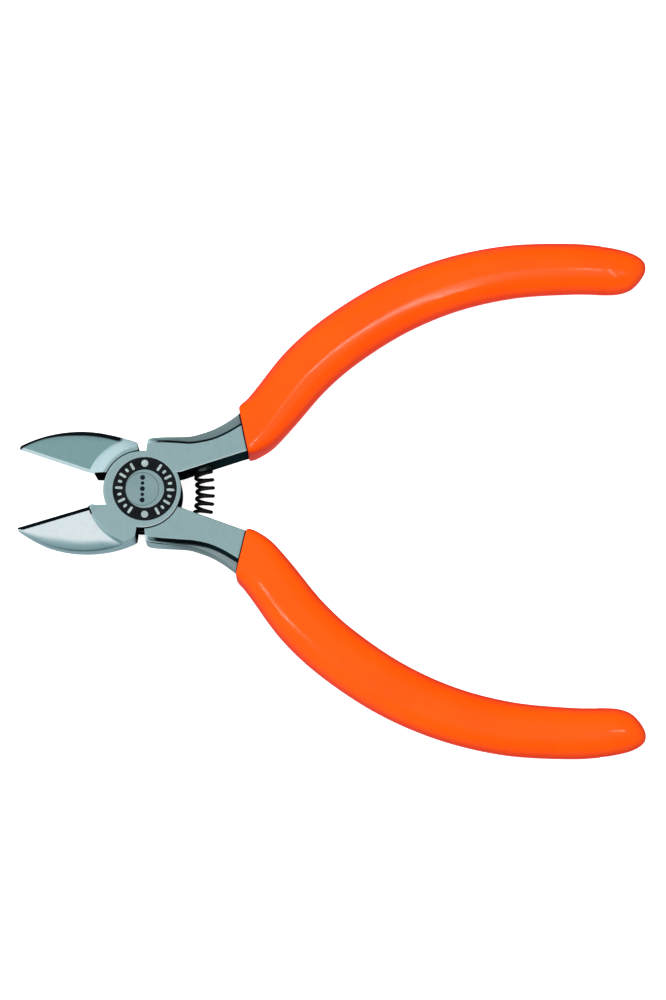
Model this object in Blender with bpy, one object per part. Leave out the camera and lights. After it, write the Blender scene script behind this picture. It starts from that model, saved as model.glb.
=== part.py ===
"""Small flush cutter with a lap joint, a return spring and dipped grips.

Frame: the pivot's axis is Z and passes through the origin. z = 0 is the flat rear
face of the joint, +Z points to the front face, +X runs from the pivot towards the
handles and the jaws point along -X. The tool is drawn open, at its rest position,
so the two levers mirror each other across y = 0. "Inner" is towards y = 0. The
lengths below are in millimetres and are scaled to metres when a mesh is made.
A side of +1 is the upper (+Y) half and -1 the lower one.
"""

import math

import bmesh
import bpy
from mathutils import Matrix, Vector

for old in list(bpy.data.objects):
    bpy.data.objects.remove(old, do_unlink=True)

MM = 0.001

# ---------------------------------------------------------------- joint
THICKNESS = 8.6  # over the two flat faces of the joint
MID = THICKNESS / 2
LAP_GAP = 0.03  # from the middle plane to each lever's sliding face
PAD_SET = 0.03  # the forged pads sit this far inside the turned joint faces
BOSS_R = 6.85
BOSS_CHAMFER = 0.15
BOSS_SPARE = 0.8  # the boss starts this far past MID, and the recess trims it
RECESS_R = BOSS_R + 0.10  # circular recess that the other lever's boss turns in
RIVET_HEAD_R = 2.9
RIVET_HEAD_H = 1.2
RIVET_SHANK_R = 2.2
RIVET_CHAMFER = 0.12
RIVET_FIT = 0.03  # rear lever, radial
RIVET_RUN = 0.06  # front lever, radial
HEAD_SEAT_GAP = 0.03  # under each rivet head
RING_R, RING_IN_R = 5.65, 3.41  # shallow etched ring round the rivet head
RING_C = (0.45, 0.05)  # its centre; the mark stands a little off the axis
RING_DEPTH = 0.12
CUT_OVER = 1.0  # cutters run this far past the joint faces
RECESS_OVER = 2.0  # the same for the recess cutters
HALF_OPEN = 17.6  # angle of each cutting edge from the closed line, degrees
ROUND = 80  # facets of the joint's circles

# ---------------------------------------------------------------- jaws
EDGE_IN_R = 8.9  # inner end of the cutting edge
EDGE_JUMP = 0.04  # radial run in which the throat wall becomes the edge
TIP_R = 22.9
SPINE_R = 20.75  # the back of a jaw is one arc of this radius
SPINE_C = (-10.6, -10.15)  # its centre, for the upper jaw
SHOULDER = 82.7  # angle of the jaw's stop face from -X, degrees
THROAT_Y = 2.9  # flat wall between the boss and the cutting edge
EDGE_SET = 0.012  # each cutting edge stops this short of the closed line
EDGE_Z = MID + 3.30  # height of the ground front face beside its edge land
LAND_W = 0.42  # narrow front land along the cutting edge
LAND_DROP = 0.26
APEX_H = 0.06  # blunt height left on the cutting edge
FRONT_TILT = math.tan(math.radians(13.0))  # ground front face falls to the back
BEVEL_FALL = 1.5  # rear bevel: fall per mm away from the edge
BEVEL_SHARE = 0.75  # most of the jaw's width that the bevel takes
REAR_TILT = math.tan(math.radians(11.0))  # rear face thins towards the tip
REAR_TILT_R = 9.8  # radius where that thinning starts
ROLL_W = 1.3  # rounded back edge
ROLL_H = 0.95
ROLL_FADE = 2.0  # radial run in which the rounding grows to full depth
BAND_SHARE = 0.45  # most of the width that the land or the rounding takes
BACK_CHAMFER, BACK_CHAMFER_SHARE = 0.3, 0.2  # rear back edge: size, most of the width
THROAT_BAND, THROAT_SHARE = 3.0, 0.5  # first rear band at the throat: the same limits
# radii where the ramp from joint face to ground face starts and ends
ROOT_REAR_LEVER = (7.55, 9.80)
ROOT_FRONT_LEVER = (9.72, 10.12)
THROAT_RADII = [6.2, 6.7, 7.3, 8.0, 8.4]  # stations, the first inside the boss
BLADE_STEPS = 15

# ---------------------------------------------------------------- tangs
STOP_ANGLE = 85.3  # angle of the tang's stop face from +X, degrees
STOP_R = 9.0  # outer end of the stop face
WALL_X, WALL_Y, WALL_SLOPE = 6.4, 3.05, 0.34  # straight inner wall of the tang
PAD_SHIFT = 0.45  # pad edge: wider on the rear lever, narrower on the front one
PAD_CHAMFER = 0.18
STEP_W, STEP_H = 0.36, 1.35  # drafted step round the pad
FLANGE_H = MID - 1.36  # flange half height at the foot of the step
FLANGE_MIN_W = 0.35
FLANGE_MIN_TOP = 0.1
# points rounding the flange's outer edge: (in from the edge, below FLANGE_H)
FLANGE_ROUND = ((0.60, 0.10), (0.15, 0.35))
FLANGE_EDGE_H = 0.9  # half height of its outer edge
TANG_STEPS = 16
CORE_H = 3.5  # half thickness of the core inside a grip
CORE_CORNER = 1.1
CORE_STEPS = 18
CORE_FROM = 2.45  # place along GRIP_RIBS where the core has its plain section
CORE_NOSE = 3.2  # scale of the length of the core's rounded end
DIP_WALL = 1.2
GRIP_GAP = 0.05
MOUTH_GAP = 0.3  # extra cavity room where the full tang thins down to the core
MOUTH_CORNER = 0.1  # corner size of the cavity round the tang


def wall_y(x):
    """Height in plan of the tang's straight inner wall."""
    return WALL_Y + WALL_SLOPE * (x - WALL_X)


# ribs across the upper open tang, in plan, from the stop face towards the grip:
# (outer point, inner point, pad edge as a share of the width)
STOP_DIRECTION = (math.cos(math.radians(STOP_ANGLE)), math.sin(math.radians(STOP_ANGLE)))
STOP_IN_R = 4.0
TANG_RIBS = [
    (
        (STOP_R * STOP_DIRECTION[0], STOP_R * STOP_DIRECTION[1]),
        (STOP_IN_R * STOP_DIRECTION[0], STOP_IN_R * STOP_DIRECTION[1]),
        0.900,
    ),
    ((1.50, 9.30), (1.00, 3.90), 0.900),
    ((3.50, 9.55), (3.10, 3.70), 0.880),
    ((6.00, 9.72), (6.00, 3.05), 0.855),
    ((8.30, 9.88), (8.20, wall_y(8.20)), 0.800),
    ((10.40, 10.47), (10.60, wall_y(10.60)), 0.745),
    ((12.35, 11.22), (13.00, wall_y(13.00)), 0.710),
    ((14.25, 12.28), (15.30, wall_y(15.30)), 0.700),
    ((15.85, 13.40), (17.10, wall_y(17.10)), 0.700),
    ((17.20, 14.50), (18.90, wall_y(18.90)), 0.700),
    ((18.50, 15.60), (20.60, wall_y(20.60) + 0.25), 0.700),
]
CAVITY_TANG_STATIONS = (6.6, 7.4, 8.2, 9.0, 10.0)  # places along TANG_RIBS

# ---------------------------------------------------------------- spring
SPRING_ARC_R = 17.0  # the spring bows along this arc
SPRING_X = 10.9  # its middle, from the pivot
ARC_CX = SPRING_X - SPRING_ARC_R  # centre of the arc
SPRING_OD = 3.55
WIRE = 0.64
SPRING_HALF = 23.8  # half angle of the arc that the wire's centre fills, degrees
SPRING_TURNS = 10.5
CLOSED_TURNS = 0.9  # turns wound close at each end
CLOSED_PITCH = WIRE * 1.05
STEPS_PER_TURN, WIRE_SIDES = 12, 6
WALL_HALF = 15.0  # arc angle where the spring passes into a tang
POCKET_R = 2.1
POCKET_DEPTH = 3.0
POCKET_OVER = 4.0  # the pocket cutter runs this far out of the mouth
POCKET_ROUND = 40
PEG_R = 0.85
PEG_STANDS = 2.1
PEG_SUNK = 1.3
PEG_FIT = 0.03
PEG_CHAMFER = 0.3
PEG_ROUND = 28

# ---------------------------------------------------------------- grips
# plan ribs across the upper grip, from its collar on:
# (outer point, inner point, half height, power of the superellipse section)
GRIP_RIBS = [
    ((16.65, 14.98), (18.55, 6.55), 5.05, 8.0),
    ((17.15, 15.75), (20.20, 6.98), 5.0, 5.5),
    ((17.95, 16.70), (23.05, 8.75), 4.9, 3.6),
    ((19.45, 18.70), (26.75, 12.75), 4.8, 2.7),
    ((24.80, 25.75), (32.00, 19.00), 4.7, 2.45),
    ((31.80, 32.10), (37.90, 24.25), 4.7, 2.4),
    ((41.65, 38.45), (46.25, 29.75), 4.7, 2.4),
    ((52.40, 42.95), (55.40, 33.80), 4.65, 2.4),
    ((63.75, 45.50), (65.20, 36.20), 4.55, 2.35),
    ((75.10, 46.05), (75.20, 37.05), 4.45, 2.3),
    ((82.00, 45.60), (82.00, 37.05), 4.3, 2.25),
]
LAST_RIB = len(GRIP_RIBS) - 1
# sections that close the grip: (x, outer y, inner y, share of the half height)
END_RIBS = [
    (80.4, 45.65, 37.02, 1.00),
    (82.0, 45.47, 37.03, 1.00),
    (83.6, 45.18, 37.13, 0.97),
    (85.2, 44.80, 37.52, 0.88),
    (86.4, 44.38, 38.17, 0.76),
    (87.4, 43.88, 39.15, 0.60),
    (88.10, 43.35, 40.10, 0.42),
    (88.52, 42.80, 40.90, 0.25),
    (88.68, 42.30, 41.45, 0.11),
]
# places along GRIP_RIBS: close together at the collar, then even to the end ribs
COLLAR_STATIONS = [0, 0.08, 0.25, 0.6, 1, 1.4, 1.8, 2.2, 2.6, 3]
BODY_STEPS = 13
BODY_END = LAST_RIB - 0.25
LIP_END = 0.3  # the collar's rounded lip ends here, as a place along the ribs
LIP_TUCK = 0.12
GRIP_SIDES = 24


# ================================================================ materials
def material(name, colour, roughness, metallic):
    made = bpy.data.materials.new(name)
    made.use_nodes = True
    inputs = made.node_tree.nodes["Principled BSDF"].inputs
    inputs["Base Color"].default_value = colour
    inputs["Roughness"].default_value = roughness
    inputs["Metallic"].default_value = metallic
    return made


STEEL = dict(colour=(0.26, 0.36, 0.37, 1), roughness=0.32, metallic=1.0)
STEEL_MAT = material("ground_steel", **STEEL)
PIN_MAT = material("rivet_steel", **STEEL)
SPRING_MAT = material(
    "black_spring_steel", colour=(0.02, 0.02, 0.022, 1), roughness=0.4, metallic=0.9
)
PEG_MAT = material("peg_steel", **STEEL)
GRIP_MAT = material("orange_dip", colour=(0.93, 0.13, 0.012, 1), roughness=0.38, metallic=0.0)


# ================================================================ mesh tools
def mesh_object(name, bm, look, smooth=35.0):
    """A named object from a bmesh in millimetres; edges over smooth degrees are sharp."""
    bmesh.ops.scale(bm, vec=(MM, MM, MM), verts=bm.verts)
    bmesh.ops.recalc_face_normals(bm, faces=bm.faces)
    mesh = bpy.data.meshes.new(name)
    bm.to_mesh(mesh)
    bm.free()
    mesh.materials.append(look)
    mesh.shade_smooth()
    mesh.set_sharp_from_angle(angle=math.radians(smooth))
    obj = bpy.data.objects.new(name, mesh)
    bpy.context.scene.collection.objects.link(obj)
    return obj


def combine(target, other, how):
    """Boolean modifier on target; other becomes a hidden helper."""
    step = target.modifiers.new(f"{how.lower()}_{other.name}", "BOOLEAN")
    step.operation = how
    step.object = other
    step.solver = "EXACT"
    other.hide_render = True
    other.display_type = "WIRE"


def add_rings(bm, rings):
    return [[bm.verts.new(point) for point in ring] for ring in rings]


def skin(bm, rows):
    """Quads between each ring of vertices and the next."""
    for row, after in zip(rows, rows[1:]):
        for i in range(len(row)):
            j = (i + 1) % len(row)
            bm.faces.new((row[i], row[j], after[j], after[i]))


def ring_loft(name, rings, look, smooth=35.0):
    """Closed body through rings of equal length, with flat end caps."""
    bm = bmesh.new()
    rows = add_rings(bm, rings)
    skin(bm, rows)
    bm.faces.new(rows[0])
    bm.faces.new(rows[-1][::-1])
    return mesh_object(name, bm, look, smooth)


def circle(radius, z, steps, centre=(0.0, 0.0)):
    turns = [2 * math.pi * i / steps for i in range(steps)]
    return [
        (centre[0] + radius * math.cos(a), centre[1] + radius * math.sin(a), z) for a in turns
    ]


def turned(name, profile, look, axis_from=None, axis_to=None, steps=ROUND):
    """Body of revolution about Z, or about the line axis_from to axis_to.

    profile is a list of (radius, height), bottom to top, off the axis.
    """
    bm = bmesh.new()
    rows = add_rings(bm, [circle(radius, z, steps) for radius, z in profile])
    skin(bm, rows)
    bm.faces.new(rows[0][::-1])
    bm.faces.new(rows[-1])
    if axis_from is not None:
        line = Vector(axis_to) - Vector(axis_from)
        turn = Vector((0, 0, 1)).rotation_difference(line.normalized())
        bmesh.ops.transform(
            bm,
            matrix=Matrix.Translation(Vector(axis_from)) @ turn.to_matrix().to_4x4(),
            verts=bm.verts,
        )
    return mesh_object(name, bm, look)


def hoop(name, profile, look):
    """Closed ring round RING_C; profile goes once round its section."""
    bm = bmesh.new()
    rows = add_rings(bm, [circle(radius, z, ROUND, RING_C) for radius, z in profile])
    skin(bm, rows + rows[:1])
    return mesh_object(name, bm, look)


def spline(points, t):
    """Catmull-Rom curve through the points, t from 0 to len(points) - 1."""
    last = len(points) - 1
    i = min(int(t), last - 1)
    f = t - i
    start, end = Vector(points[i]), Vector(points[i + 1])
    before = Vector(points[i - 1]) if i > 0 else 2 * start - end
    after = Vector(points[i + 2]) if i + 2 <= last else 2 * end - start
    return 0.5 * (
        2 * start
        + (end - before) * f
        + (2 * before - 5 * start + 4 * end - after) * f**2
        + (3 * start - before - 3 * end + after) * f**3
    )


def rib_at(ribs, t):
    """Outer and inner plan points at place t along a table of ribs."""
    return spline([rib[0] for rib in ribs], t), spline([rib[1] for rib in ribs], t)


def number_at(ribs, column, t):
    return spline([(rib[column], 0.0) for rib in ribs], t)[0]


def on_side(rings, side):
    """Rings drawn for the upper side, mirrored if side is -1."""
    return [[(x, side * y, z) for x, y, z in ring] for ring in rings]


# ================================================================ jaws
def spine_angle(r):
    """Angle from -X, in degrees, of the jaw's back at radius r from the pivot."""
    away = math.hypot(*SPINE_C)
    lean = math.degrees(math.atan2(SPINE_C[1], SPINE_C[0])) % 360 - 180
    cosine = (r * r + away * away - SPINE_R**2) / (2 * r * away)
    return min(SHOULDER, math.degrees(math.acos(max(-1, min(1, cosine)))) - lean)


def on_edge(r):
    return r >= EDGE_IN_R - EDGE_JUMP / 2


def inner_angle(r):
    """Angle from -X of the jaw's inner side: the throat wall, then the edge."""
    if on_edge(r):
        return HALF_OPEN + math.degrees(EDGE_SET / r)
    return math.degrees(math.asin(min(1, THROAT_Y / r)))


def jaw_top(r, angle, root):
    """Height of the jaw's front surface."""
    off_edge = r * math.sin(math.radians(angle - HALF_OPEN))
    to_back = math.radians(spine_angle(r) - angle) * r
    width = math.radians(spine_angle(r) - HALF_OPEN) * r
    land = min(LAND_W, BAND_SHARE * width)
    roll = min(ROLL_W, BAND_SHARE * width)
    face = EDGE_Z - FRONT_TILT * off_edge
    if off_edge < land:
        face = EDGE_Z - FRONT_TILT * land - LAND_DROP * (1 - off_edge / land)
    fade = min(1.0, max(0.0, (r - root[1]) / ROLL_FADE))
    if to_back < roll and fade > 0:
        u = 1 - to_back / roll
        face -= fade * ROLL_H * (roll / ROLL_W) * (1 - math.sqrt(max(0.0, 1 - u * u)))
    ramp = min(1.0, max(0.0, (r - root[0]) / (root[1] - root[0])))
    flat = THICKNESS - PAD_SET
    return flat + (face - flat) * ramp


def jaw_rows(r, root):
    """(angle, z) points, inner to back, of the front and of the rear surface at r."""
    start = inner_angle(r)
    width = math.radians(spine_angle(r) - start) * r

    def angle_at(offset):
        return start + math.degrees(offset / r)

    land = min(LAND_W, BAND_SHARE * width)
    roll = min(ROLL_W, BAND_SHARE * width)
    span = width - land - roll
    offsets = [0, land]
    offsets += [land + span * k / 4 for k in (1, 2, 3)]
    offsets += [width - roll * k for k in (1, 0.62, 0.3, 0.08, 0)]
    top = [(angle_at(offset), jaw_top(r, angle_at(offset), root)) for offset in offsets]

    low = PAD_SET + max(0.0, REAR_TILT * (r - REAR_TILT_R))
    if on_edge(r):
        first_z = top[0][1] - APEX_H
        cut = (first_z - low) / BEVEL_FALL
        if cut > BEVEL_SHARE * width:
            cut = BEVEL_SHARE * width
            low = max(low, first_z - BEVEL_FALL * cut)
    else:
        first_z = low
        cut = min(width * THROAT_SHARE, THROAT_BAND)
    chamfer = min(BACK_CHAMFER, BACK_CHAMFER_SHARE * width)
    rest = width - cut - chamfer
    bottom = [(angle_at(cut * k / 2), first_z + (low - first_z) * k / 2) for k in (0, 1, 2)]
    bottom += [(angle_at(cut + rest * k / 2), low) for k in (1, 2)]
    # the back wall keeps at least 0.05 of height
    bottom += [(angle_at(width), min(low + chamfer, top[-1][1] - 0.05))]
    return top, bottom


def chord_share(angle, r):
    """Share of r at which the chord across the jaw at r is met at this angle."""
    low, high = inner_angle(r), spine_angle(r)
    half = math.radians(high - low) / 2
    return math.cos(half) / math.cos(math.radians(angle - low) - half)


def jaw_radii(root):
    """Stations along the jaw, closest together about the root ramp."""
    radii = THROAT_RADII + [max(8.6, root[0] - 0.3), EDGE_IN_R - EDGE_JUMP, EDGE_IN_R, *root]
    radii += [root[1] + 0.55 * k for k in (1, 2, 3)]
    start = radii[-1]
    radii += [start + (TIP_R - start) * k / BLADE_STEPS for k in range(1, BLADE_STEPS + 1)]
    return sorted({round(r, 3) for r in radii})


def jaw(name, side, root):
    rings = []
    for r in jaw_radii(root):
        top, bottom = jaw_rows(r, root)
        ring = []
        for angle, z in top + bottom[::-1]:
            # the first end is a flat cut inside the boss
            reach = r * chord_share(angle, r) if r == THROAT_RADII[0] else r
            turn = math.radians(angle)
            ring.append((-reach * math.cos(turn), reach * math.sin(turn), z))
        rings.append(ring)
    return ring_loft(name, on_side(rings, side), STEEL_MAT)


# ================================================================ tangs
def placed_section(half, inner, along):
    """Closed section from its front half, (distance from inner, height above MID)."""
    loop = half + [(across, -z) for across, z in half[:0:-1]]
    points = []
    for across, z in loop:
        plan = inner + along * across
        points.append((plan.x, plan.y, MID + z))
    return points


def tang_section(outer, inner, share, shift):
    """Section of the open tang: a full-height wall inside, a pad, a step, a flange."""
    along = (outer - inner).normalized()
    width = (outer - inner).length
    pad = min(width * share + shift, width - STEP_W - FLANGE_MIN_W)
    foot = pad + STEP_W
    high = MID - PAD_SET
    (round_in, round_drop), (edge_in, edge_drop) = FLANGE_ROUND
    half = [
        (0.0, 0.0),
        (0.0, high - PAD_CHAMFER),
        (PAD_CHAMFER, high),
        (pad * 0.5, high),
        (pad, high),
        (foot, high - STEP_H),
        (max(foot + FLANGE_MIN_TOP, width - round_in), FLANGE_H - round_drop),
        (width - edge_in, FLANGE_H - edge_drop),
        (width, FLANGE_EDGE_H),
    ]
    return placed_section(half, inner, along)


def core_section(outer, inner, height, grow, corner=CORE_CORNER):
    """Section of the core inside a grip, with as many points as tang_section."""
    along = (outer - inner).normalized()
    width = (outer - inner).length + 2 * grow
    high = height + grow
    # shares of the corner size place the points that round each corner
    half = [
        (0.0, 0.0),
        (0.0, high - corner),
        (0.32 * corner, high - 0.32 * corner),
        (corner, high),
        (width * 0.5, high),
        (width - corner, high),
        (width - 0.32 * corner, high - 0.32 * corner),
        (width - 0.08 * corner, high - 0.7 * corner),
        (width, high - 1.32 * corner),
    ]
    return placed_section(half, inner - along * grow, along)


def core_rib(t):
    """Rib of the core: the grip's rib less the dipped wall on each side."""
    outer, inner = rib_at(GRIP_RIBS, t)
    along = (outer - inner).normalized()
    return outer - along * DIP_WALL, inner + along * DIP_WALL


def core_rings(grow):
    """Rings of the core, or of the cavity round it where grow is above 0."""
    rings = []
    for k in range(CORE_STEPS + 1):
        outer, inner = core_rib(CORE_FROM + (LAST_RIB - CORE_FROM) * k / CORE_STEPS)
        extra = MOUTH_GAP if grow and k == 0 else 0.0
        rings.append(core_section(outer, inner, CORE_H, grow + extra))
    outer, inner = core_rib(LAST_RIB)
    middle, half = (outer + inner) / 2, (outer - inner) / 2
    for k in (0.5, 0.8):  # narrowing end
        push = Vector((CORE_NOSE * k, 0))
        shrink = math.sqrt(1 - (k * 0.9) ** 2)
        rings.append(
            core_section(
                middle + half * shrink + push,
                middle - half * shrink + push,
                CORE_H * (0.6 + 0.4 * shrink),
                grow,
            )
        )
    return rings


def tang(name, side, shift):
    """Open tang and the core that follows it; the pad shift halves along the tang."""
    rings = []
    for k in range(TANG_STEPS + 1):
        t = (len(TANG_RIBS) - 1) * k / TANG_STEPS
        outer, inner = rib_at(TANG_RIBS, t)
        fade = 1 - 0.5 * k / TANG_STEPS
        rings.append(tang_section(outer, inner, number_at(TANG_RIBS, 2, t), shift * fade))
    rings += core_rings(0.0)
    return ring_loft(name, on_side(rings, side), STEEL_MAT)


# ================================================================ spring and pegs
def arc_frame(degrees):
    """Point on the spring's arc and the outward direction there."""
    a = math.radians(degrees)
    point = Vector((ARC_CX + SPRING_ARC_R * math.cos(a), SPRING_ARC_R * math.sin(a), MID))
    return point, Vector((math.cos(a), math.sin(a), 0))


def pocket_line(side):
    """Mouth, floor and direction of the pocket that the spring's end sits in."""
    depth_angle = math.degrees(POCKET_DEPTH / SPRING_ARC_R)
    mouth, _ = arc_frame(side * WALL_HALF)
    deep, _ = arc_frame(side * (WALL_HALF + depth_angle))
    into = (deep - mouth).normalized()
    return mouth, mouth + into * POCKET_DEPTH, into


def coil_centre(turns):
    """Centre of the wire after this many turns from the lower end."""
    closed_angle = CLOSED_TURNS * CLOSED_PITCH / math.radians(1) / SPRING_ARC_R
    from_end = min(turns, SPRING_TURNS - turns)
    if from_end < CLOSED_TURNS:
        off = closed_angle * from_end / CLOSED_TURNS
    else:
        middle = SPRING_TURNS / 2 - CLOSED_TURNS
        off = closed_angle + (SPRING_HALF - closed_angle) * (from_end - CLOSED_TURNS) / middle
    angle = -SPRING_HALF + off if turns < SPRING_TURNS / 2 else SPRING_HALF - off
    base, out = arc_frame(angle)
    phase = 2 * math.pi * turns
    coil_r = (SPRING_OD - WIRE) / 2
    return base + coil_r * (out * math.cos(phase) - Vector((0, 0, 1)) * math.sin(phase))


def helix(name):
    """Round wire wound along the spring's arc, with its last turn closed up."""
    count = int(SPRING_TURNS * STEPS_PER_TURN)
    points = [coil_centre(SPRING_TURNS * k / count) for k in range(count + 1)]
    rings = []
    for k, point in enumerate(points):
        ahead = points[min(k + 1, count)] - points[max(k - 1, 0)]
        ahead.normalize()
        radial = point - Vector((ARC_CX, 0, MID))
        flat = ahead.cross(radial).normalized()
        up = flat.cross(ahead).normalized()
        ring = []
        for i in range(WIRE_SIDES):
            a = 2 * math.pi * i / WIRE_SIDES
            ring.append(point + WIRE / 2 * (flat * math.cos(a) + up * math.sin(a)))
        rings.append(ring)
    return ring_loft(name, rings, SPRING_MAT, 60)


def peg(name, side):
    """Pin sunk in the pocket's floor, standing up inside the spring."""
    _, floor, into = pocket_line(side)
    tall = PEG_SUNK + PEG_STANDS
    profile = [(PEG_R, 0.0), (PEG_R, tall - PEG_CHAMFER), (PEG_R - PEG_CHAMFER, tall)]
    return turned(name, profile, PEG_MAT, floor + into * PEG_SUNK, floor - into, PEG_ROUND)


# ================================================================ grips
def grip_section(outer, inner, half_height, power):
    """Superellipse across the rib."""
    middle = (Vector(outer) + Vector(inner)) / 2
    half = (Vector(outer) - Vector(inner)) / 2
    ring = []
    for i in range(GRIP_SIDES):
        a = 2 * math.pi * i / GRIP_SIDES
        cosine, sine = math.cos(a), math.sin(a)
        plan = middle + half * math.copysign(abs(cosine) ** (2 / power), cosine)
        rise = math.copysign(abs(sine) ** (2 / power), sine)
        ring.append((plan.x, plan.y, MID + half_height * rise))
    return ring


def grip_body(name, side):
    rings = []
    first = COLLAR_STATIONS[-1]
    stations = COLLAR_STATIONS + [
        first + (BODY_END - first) * k / BODY_STEPS for k in range(1, BODY_STEPS + 1)
    ]
    for t in stations:
        outer, inner = rib_at(GRIP_RIBS, t)
        height = number_at(GRIP_RIBS, 2, t)
        if t < LIP_END:  # rounded lip of the collar
            tuck = LIP_TUCK * (1 - t / LIP_END) ** 2
            along = (outer - inner).normalized()
            outer, inner, height = outer - along * tuck, inner + along * tuck, height - tuck
        rings.append(grip_section(outer, inner, height, number_at(GRIP_RIBS, 3, t)))
    height, power = GRIP_RIBS[-1][2:]
    for x, outer_y, inner_y, share in END_RIBS:
        rings.append(grip_section((x, outer_y), (x, inner_y), height * share, power))
    return ring_loft(name, on_side(rings, side), GRIP_MAT, 60)


def grip_cavity(name, side):
    """Space for the tang and core, GRIP_GAP bigger all round and open at the collar."""
    rings = [
        core_section(*rib_at(TANG_RIBS, t), MID - PAD_SET, GRIP_GAP, MOUTH_CORNER)
        for t in CAVITY_TANG_STATIONS
    ]
    rings += core_rings(GRIP_GAP)
    return ring_loft(name, on_side(rings, side), GRIP_MAT)


def grip(name, side):
    sleeve = grip_body(name, side)
    combine(sleeve, grip_cavity(f"{name}_cavity", side), "DIFFERENCE")
    return sleeve


# ================================================================ levers and rivet
def boss(name, front):
    if front:
        profile = [
            (BOSS_R, MID - BOSS_SPARE),
            (BOSS_R, THICKNESS - BOSS_CHAMFER),
            (BOSS_R - BOSS_CHAMFER, THICKNESS),
        ]
    else:
        profile = [
            (BOSS_R - BOSS_CHAMFER, 0.0),
            (BOSS_R, BOSS_CHAMFER),
            (BOSS_R, MID + BOSS_SPARE),
        ]
    return turned(name, profile, STEEL_MAT)


def cut_cylinder(body, part, radius, low, high):
    cutter = turned(f"{body.name}_{part}", [(radius, low), (radius, high)], STEEL_MAT)
    combine(body, cutter, "DIFFERENCE")


def cut_joint(body, front):
    """Recess for the other boss, rivet bore, seat of the rivet head, etched ring."""
    above = THICKNESS + CUT_OVER
    if front:
        fit = RIVET_RUN
        recess = (-RECESS_OVER, MID + LAP_GAP)
        seat = (THICKNESS - RIVET_HEAD_H - HEAD_SEAT_GAP, above)
    else:
        fit = RIVET_FIT
        recess = (MID - LAP_GAP, THICKNESS + RECESS_OVER)
        seat = (-CUT_OVER, RIVET_HEAD_H + HEAD_SEAT_GAP)
    cut_cylinder(body, "recess", RECESS_R, *recess)
    cut_cylinder(body, "bore", RIVET_SHANK_R + fit, -CUT_OVER, above)
    cut_cylinder(body, "head_seat", RIVET_HEAD_R + fit, *seat)
    if front:
        floor = THICKNESS - RING_DEPTH
        groove = [(RING_IN_R, floor), (RING_R, floor), (RING_R, above), (RING_IN_R, above)]
        combine(body, hoop(f"{body.name}_groove", groove, STEEL_MAT), "DIFFERENCE")


def cut_spring_seat(body, side):
    """Pocket for the spring's end, and the hole for its peg."""
    mouth, floor, into = pocket_line(side)
    pocket = [(POCKET_R, 0.0), (POCKET_R, POCKET_DEPTH + POCKET_OVER)]
    outside = mouth - into * POCKET_OVER
    cutter = turned(f"{body.name}_pocket", pocket, STEEL_MAT, floor, outside, POCKET_ROUND)
    combine(body, cutter, "DIFFERENCE")
    hole = [(PEG_R + PEG_FIT, 0.0), (PEG_R + PEG_FIT, PEG_SUNK + 1.0)]
    bottom = floor + into * (PEG_SUNK + PEG_FIT)
    cutter = turned(f"{body.name}_peg_hole", hole, STEEL_MAT, bottom, floor, PEG_ROUND)
    combine(body, cutter, "DIFFERENCE")


def lever(name, front):
    """One forged lever: boss, jaw on one side of the joint, tang on the other."""
    jaw_side, tang_side = (-1, 1) if front else (1, -1)
    root = ROOT_FRONT_LEVER if front else ROOT_REAR_LEVER
    shift = -PAD_SHIFT if front else PAD_SHIFT
    body = boss(name, front)
    combine(body, jaw(f"{name}_jaw", jaw_side, root), "UNION")
    combine(body, tang(f"{name}_tang", tang_side, shift), "UNION")
    cut_joint(body, front)
    cut_spring_seat(body, tang_side)
    return body


def rivet(name):
    """Shank with a flush head at each face."""
    profile = [
        (RIVET_HEAD_R - RIVET_CHAMFER, 0.0),
        (RIVET_HEAD_R, RIVET_CHAMFER),
        (RIVET_HEAD_R, RIVET_HEAD_H),
        (RIVET_SHANK_R, RIVET_HEAD_H),
        (RIVET_SHANK_R, THICKNESS - RIVET_HEAD_H),
        (RIVET_HEAD_R, THICKNESS - RIVET_HEAD_H),
        (RIVET_HEAD_R, THICKNESS - RIVET_CHAMFER),
        (RIVET_HEAD_R - RIVET_CHAMFER, THICKNESS),
    ]
    return turned(name, profile, PIN_MAT)


# ================================================================ assembly
joint_axis = bpy.data.objects.new("joint_axis", None)
bpy.context.scene.collection.objects.link(joint_axis)

pieces = [
    lever("front_lever", front=True),
    lever("rear_lever", front=False),
    rivet("pivot_rivet"),
    helix("return_spring"),
    peg("upper_spring_peg", side=1),
    peg("lower_spring_peg", side=-1),
    grip("upper_grip", side=1),
    grip("lower_grip", side=-1),
]
for piece in pieces:
    piece.parent = joint_axis
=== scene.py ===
"""Small flush cutter: two forged levers on a rivet, a coil spring and dipped grips.

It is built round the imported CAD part, in the same frame: the pivot's axis is Z through
the origin, z = 0 is the flat rear face of the joint and +Z its front, the handles run
to +X and the jaws to -X. The rear lever has the +Y jaw and the -Y handle, the front
lever the other two. Lengths are in millimetres, scaled to metres when a mesh is made;
lights and camera are in metres. A side is 1 for +Y and -1 for -Y.
"""

import math

import bmesh
import bpy
import numpy as np
from mathutils import Matrix, Vector


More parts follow.
